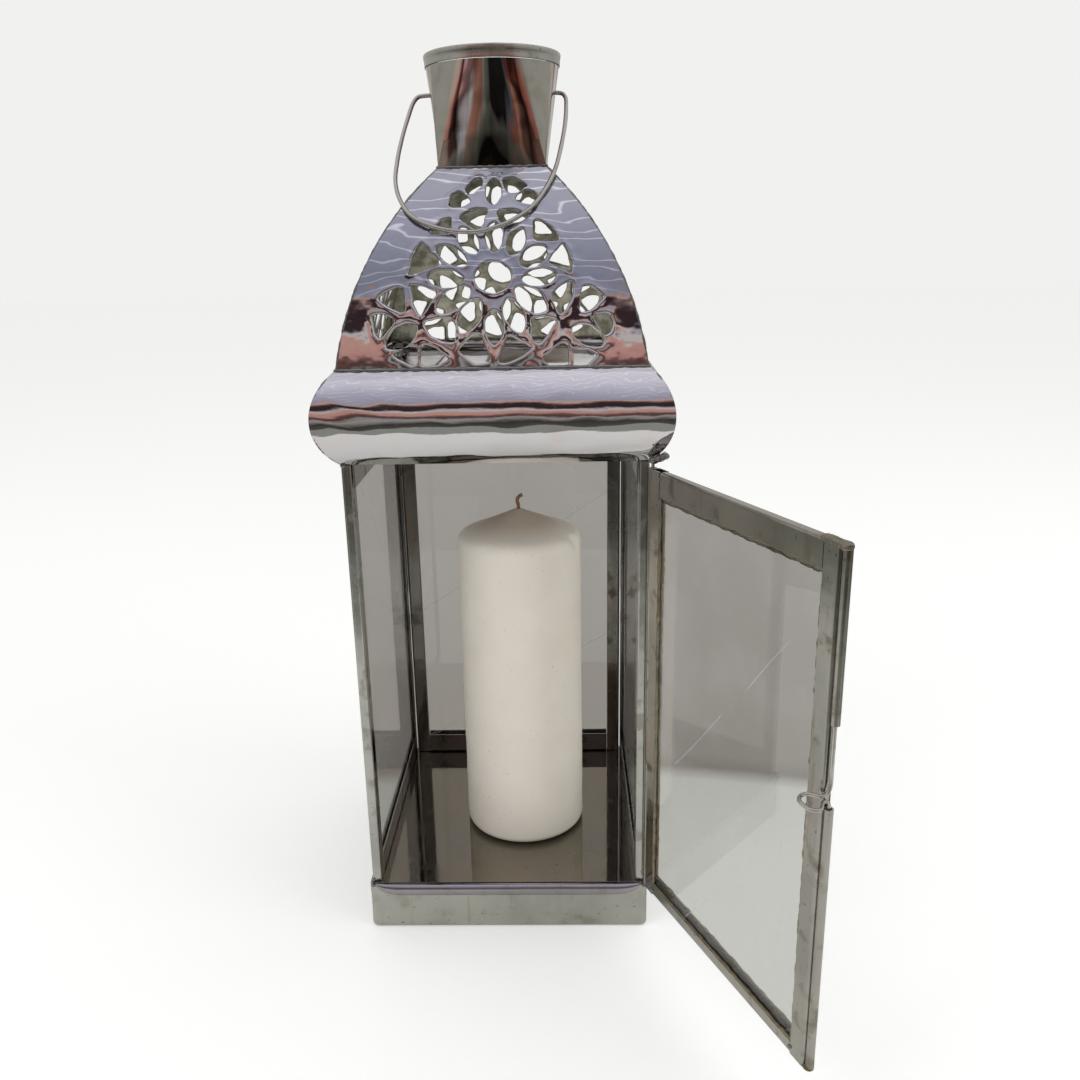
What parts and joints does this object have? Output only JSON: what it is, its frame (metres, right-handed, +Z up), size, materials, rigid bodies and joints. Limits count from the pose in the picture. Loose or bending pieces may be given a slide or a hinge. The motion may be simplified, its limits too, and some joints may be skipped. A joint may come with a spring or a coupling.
{
  "type": "candle lantern",
  "caption": "Square glazed metal lantern with a hinged glass door, pierced dome, flared chimney, wire handle and a pillar candle.",
  "frame": {"origin": "middle of the base's underside, on the surface that the lantern stands on", "axes": "+Z up, the doorway faces -Y, the door's hinge is on the +X side"},
  "size_m": [0.1923, 0.2606, 0.395],
  "materials": {
    "tinned_sheet": "dull tinned sheet with flux stains",
    "bright_plate": "polished plate",
    "dark_plate": "worn semi-gloss sheet",
    "iron_wire": "drawn wire",
    "clear_glass": "clear pane with light smudges",
    "wax": "ivory candle wax",
    "cotton": "waxed cotton"
  },
  "bodies": {
    "lantern": {"base_tray": "tinned_sheet", "floor_plate": "dark_plate", "sill_bead": "bright_plate", "left_wall_front_stile": "tinned_sheet", "left_wall_rear_stile": "tinned_sheet", "left_wall_bottom_rail": "tinned_sheet", "left_wall_top_rail": "tinned_sheet", "left_glass": "clear_glass", "right_wall_front_stile": "tinned_sheet", "right_wall_rear_stile": "tinned_sheet", "right_wall_bottom_rail": "tinned_sheet", "right_wall_top_rail": "tinned_sheet", "right_glass": "clear_glass", "back_wall_left_stile": "tinned_sheet", "back_wall_right_stile": "tinned_sheet", "back_wall_bottom_rail": "tinned_sheet", "back_wall_top_rail": "tinned_sheet", "back_glass": "clear_glass", "left_gusset": "tinned_sheet", "right_gusset": "tinned_sheet", "hinge_wire": "iron_wire", "cornice_front": "bright_plate", "cornice_right": "bright_plate", "cornice_back": "bright_plate", "cornice_left": "bright_plate", "dome_front": "bright_plate", "dome_right": "bright_plate", "dome_back": "bright_plate", "dome_left": "bright_plate", "chimney": "bright_plate", "chimney_rim": "tinned_sheet"},
    "door": {"door_hinge_stile": "tinned_sheet", "door_free_stile": "tinned_sheet", "door_bottom_rail": "tinned_sheet", "door_top_rail": "bright_plate", "door_glass": "clear_glass"},
    "latch": {"latch_wire": "iron_wire"},
    "bail": {"bail": "iron_wire"},
    "candle": {"candle": "wax", "wick": "cotton"}
  },
  "joints": [
    {"name": "door_hinge", "type": "hinge", "parent": "lantern", "child": "door", "pos_m": [0.066, -0.068, 0.12], "axis": [0, 0, 1], "range_deg": [-114.5, 115]},
    {"name": "latch_spring", "type": "hinge", "parent": "door", "child": "latch", "pos_m": [0.11618, -0.17811, 0.138], "axis": [0, 0, 1], "range_deg": [-20, 0], "stiffness_Nm_per_rad": 0.02},
    {"name": "bail_pivot", "type": "hinge", "parent": "lantern", "child": "bail", "pos_m": [0, 0, 0.3795], "axis": [-1, 0, 0], "range_deg": [0, 280]},
    {"name": "candle_slide", "type": "slide", "parent": "lantern", "child": "candle", "axis": [0, -1, 0], "range_m": [0, 0.17]}
  ]
}
